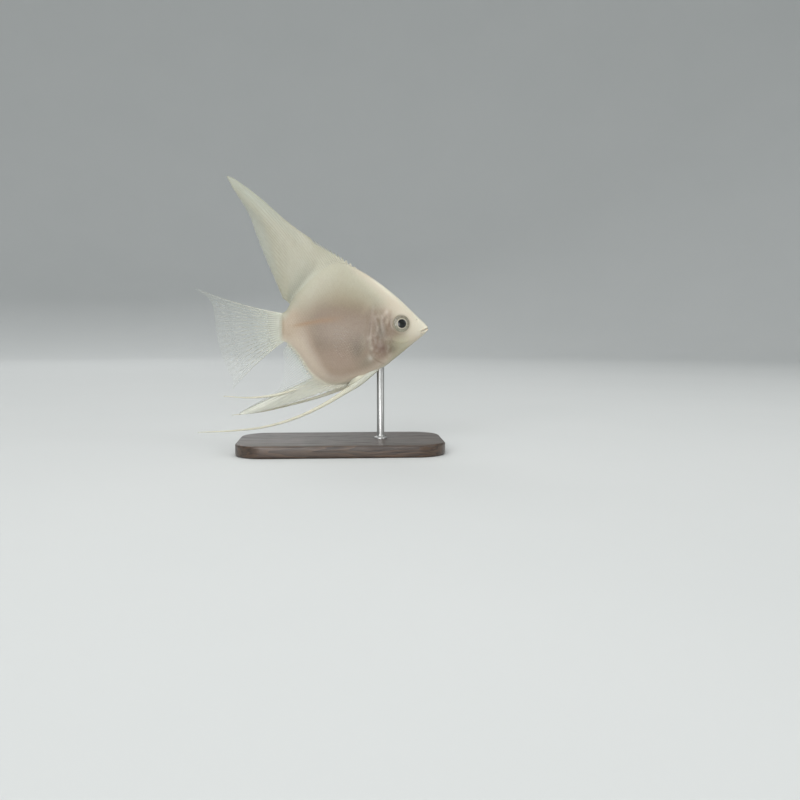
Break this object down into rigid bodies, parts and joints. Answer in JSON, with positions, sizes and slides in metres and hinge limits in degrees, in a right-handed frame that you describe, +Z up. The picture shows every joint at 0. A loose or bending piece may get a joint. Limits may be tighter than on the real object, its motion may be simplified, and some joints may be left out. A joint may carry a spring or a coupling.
{
  "type": "freshwater angelfish",
  "caption": "Life-size freshwater angelfish with tall swept fins and long pelvic filaments, held level over a flat display stand by a slim rod.",
  "frame": {"origin": "centre of the display stand's underside", "axes": "+X towards the fish's snout, +Y towards its left side, +Z up"},
  "size_m": [0.101, 0.046, 0.1112],
  "materials": {
    "head_skin": "cream-white skin with a soft sheen",
    "flank_skin": "pale translucent skin, pinkish brown within, fine scales",
    "fin_membrane": "thin pale membrane between fine whitish rays",
    "filament": "opaque cream white",
    "eye": "wet gloss, black pupil in a grey iris with a silver ring",
    "stand_wood": "dark stained, satin",
    "stand_metal": "fine brushed"
  },
  "bodies": {
    "root": {"head": "head_skin", "trunk": "flank_skin", "tail_stalk": "flank_skin", "dorsal_fin": "fin_membrane", "anal_fin": "fin_membrane", "caudal_fin": "fin_membrane", "pelvic_fin_left": "filament", "pelvic_fin_right": "filament", "pectoral_fin_left": "fin_membrane", "pectoral_fin_right": "fin_membrane", "eye_left": "eye", "eye_right": "eye", "stand_base": "stand_wood", "stand_rod": "stand_metal"}
  },
  "joints": []
}
